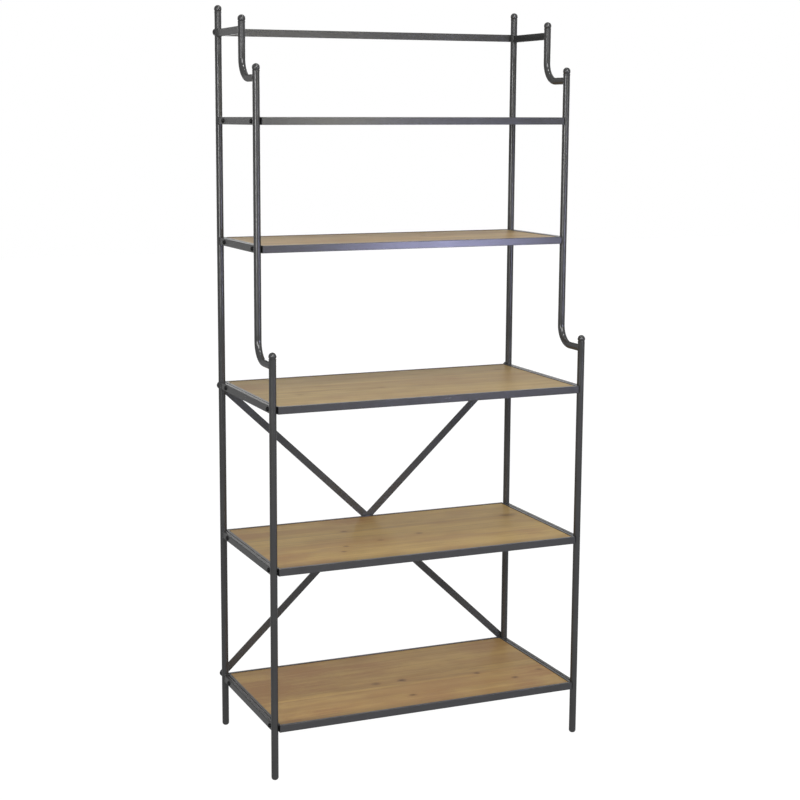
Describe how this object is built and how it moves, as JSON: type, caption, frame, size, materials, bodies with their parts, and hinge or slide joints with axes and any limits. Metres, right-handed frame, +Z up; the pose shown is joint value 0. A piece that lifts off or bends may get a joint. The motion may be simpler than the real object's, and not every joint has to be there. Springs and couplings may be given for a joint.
{
  "type": "shelving unit",
  "caption": "Open stepped etagere with round metal uprights, tray shelves with wooden boards, side rails and a crossed rear brace.",
  "frame": {"origin": "on the floor, at the centre of the unit's overall width and depth", "axes": "+Z up, front towards -Y, +X to the right as seen from the front"},
  "size_m": [0.8176, 0.404, 1.8],
  "materials": {
    "frame_metal": "dark gunmetal, satin powder coat with a faint metallic sheen",
    "tray_metal": "dark gunmetal, satin powder coat",
    "brace_metal": "dark gunmetal, satin powder coat",
    "board_wood": "glued softwood planks, honey brown, matt oil",
    "plug_plastic": "black, matt",
    "fastener_black": "black oxide, satin",
    "fastener_steel": "dull zinc plate"
  },
  "bodies": {
    "root": {"back_post_left": "frame_metal", "front_post_left": "frame_metal", "middle_post_left": "frame_metal", "top_post_left": "frame_metal", "gallery_rail_left": "frame_metal", "back_post_right": "frame_metal", "front_post_right": "frame_metal", "middle_post_right": "frame_metal", "top_post_right": "frame_metal", "gallery_rail_right": "frame_metal", "shelf_1_rail_left": "frame_metal", "shelf_1_side_bar_left": "tray_metal", "shelf_1_rail_right": "frame_metal", "shelf_1_side_bar_right": "tray_metal", "shelf_1_front_bar": "tray_metal", "shelf_1_rear_bar": "tray_metal", "shelf_1_board": "board_wood", "shelf_2_rail_left": "frame_metal", "shelf_2_side_bar_left": "tray_metal", "shelf_2_rail_right": "frame_metal", "shelf_2_side_bar_right": "tray_metal", "shelf_2_front_bar": "tray_metal", "shelf_2_rear_bar": "tray_metal", "shelf_2_board": "board_wood", "shelf_3_rail_left": "frame_metal", "shelf_3_side_bar_left": "tray_metal", "shelf_3_rail_right": "frame_metal", "shelf_3_side_bar_right": "tray_metal", "shelf_3_front_bar": "tray_metal", "shelf_3_rear_bar": "tray_metal", "shelf_3_board": "board_wood", "shelf_4_rail_left": "frame_metal", "shelf_4_side_bar_left": "tray_metal", "shelf_4_rail_right": "frame_metal", "shelf_4_side_bar_right": "tray_metal", "shelf_4_front_bar": "tray_metal", "shelf_4_rear_bar": "tray_metal", "shelf_4_board": "board_wood", "shelf_5_rail_left": "frame_metal", "shelf_5_side_bar_left": "tray_metal", "shelf_5_rail_right": "frame_metal", "shelf_5_side_bar_right": "tray_metal", "shelf_5_front_bar": "tray_metal", "shelf_5_rear_bar": "tray_metal", "shelf_5_board": "board_wood", "ball_caps": "frame_metal", "foot_glides": "frame_metal", "tray_end_plugs": "plug_plastic", "tray_bolts": "fastener_black", "tray_washers": "fastener_black", "tray_bushes": "fastener_steel", "board_tabs": "tray_metal", "board_screws": "fastener_steel", "cross_brace_front": "brace_metal", "cross_brace_rear": "brace_metal", "top_rear_rail": "brace_metal", "brace_spacers": "fastener_steel", "rear_bolts": "fastener_black", "post_inserts": "fastener_steel"}
  },
  "joints": []
}
